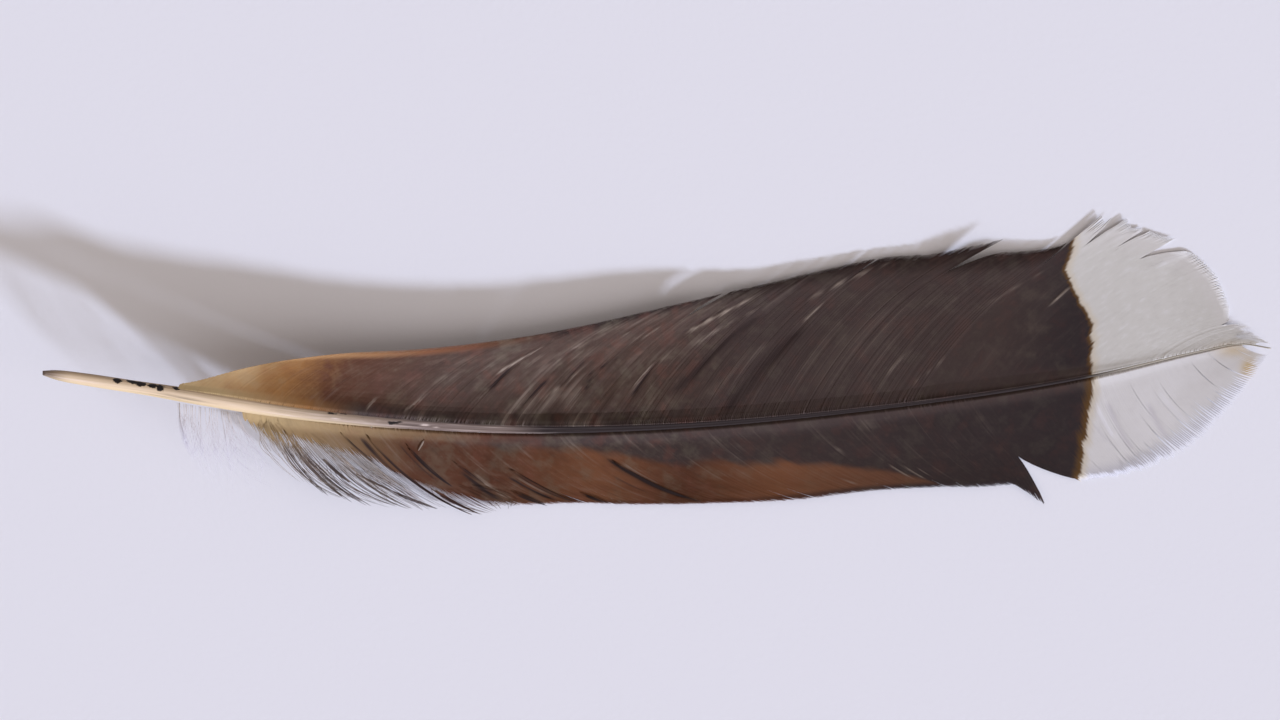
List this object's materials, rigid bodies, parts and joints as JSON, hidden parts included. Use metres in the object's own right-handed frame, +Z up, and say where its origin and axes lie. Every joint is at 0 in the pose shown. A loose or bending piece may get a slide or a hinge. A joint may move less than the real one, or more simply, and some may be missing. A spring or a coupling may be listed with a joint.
{
  "type": "turkey wing feather",
  "caption": "Large flight feather lying on its back: tapering quill, broad inner vane and narrow outer vane with splits, white tip, loose barbs and a little down at the base.",
  "frame": {"origin": "middle of the bounding box's base, on the surface that the feather lies on", "axes": "+X from the bare quill to the feather's tip, +Y to the broad inner vane, +Z up, out of the underside that shows"},
  "size_m": [0.28, 0.0696, 0.0245],
  "materials": {
    "shaft_horn": "smooth keratin horn, cream at the bare quill, grey-brown further out",
    "vane_brown": "matt barbs, hooked together, dark brown with lighter streaks",
    "vane_rust": "matt barbs, hooked together, rust brown along the outer edge",
    "vane_white": "matt white barbs, thin enough to let light through",
    "down_grey": "soft, loose, pale grey down"
  },
  "bodies": {
    "root": {"shaft": "shaft_horn", "inner_vane_main": "vane_brown", "inner_vane_second_web": "vane_brown", "inner_vane_finger": "vane_white", "inner_vane_lobe": "vane_white", "inner_vane_end_lobe": "vane_white", "inner_vane_tip_wisp": "vane_white", "loose_barbs": "vane_brown", "outer_vane_main": "vane_rust", "outer_vane_end_web": "vane_white", "down_tuft": "down_grey"}
  },
  "joints": []
}
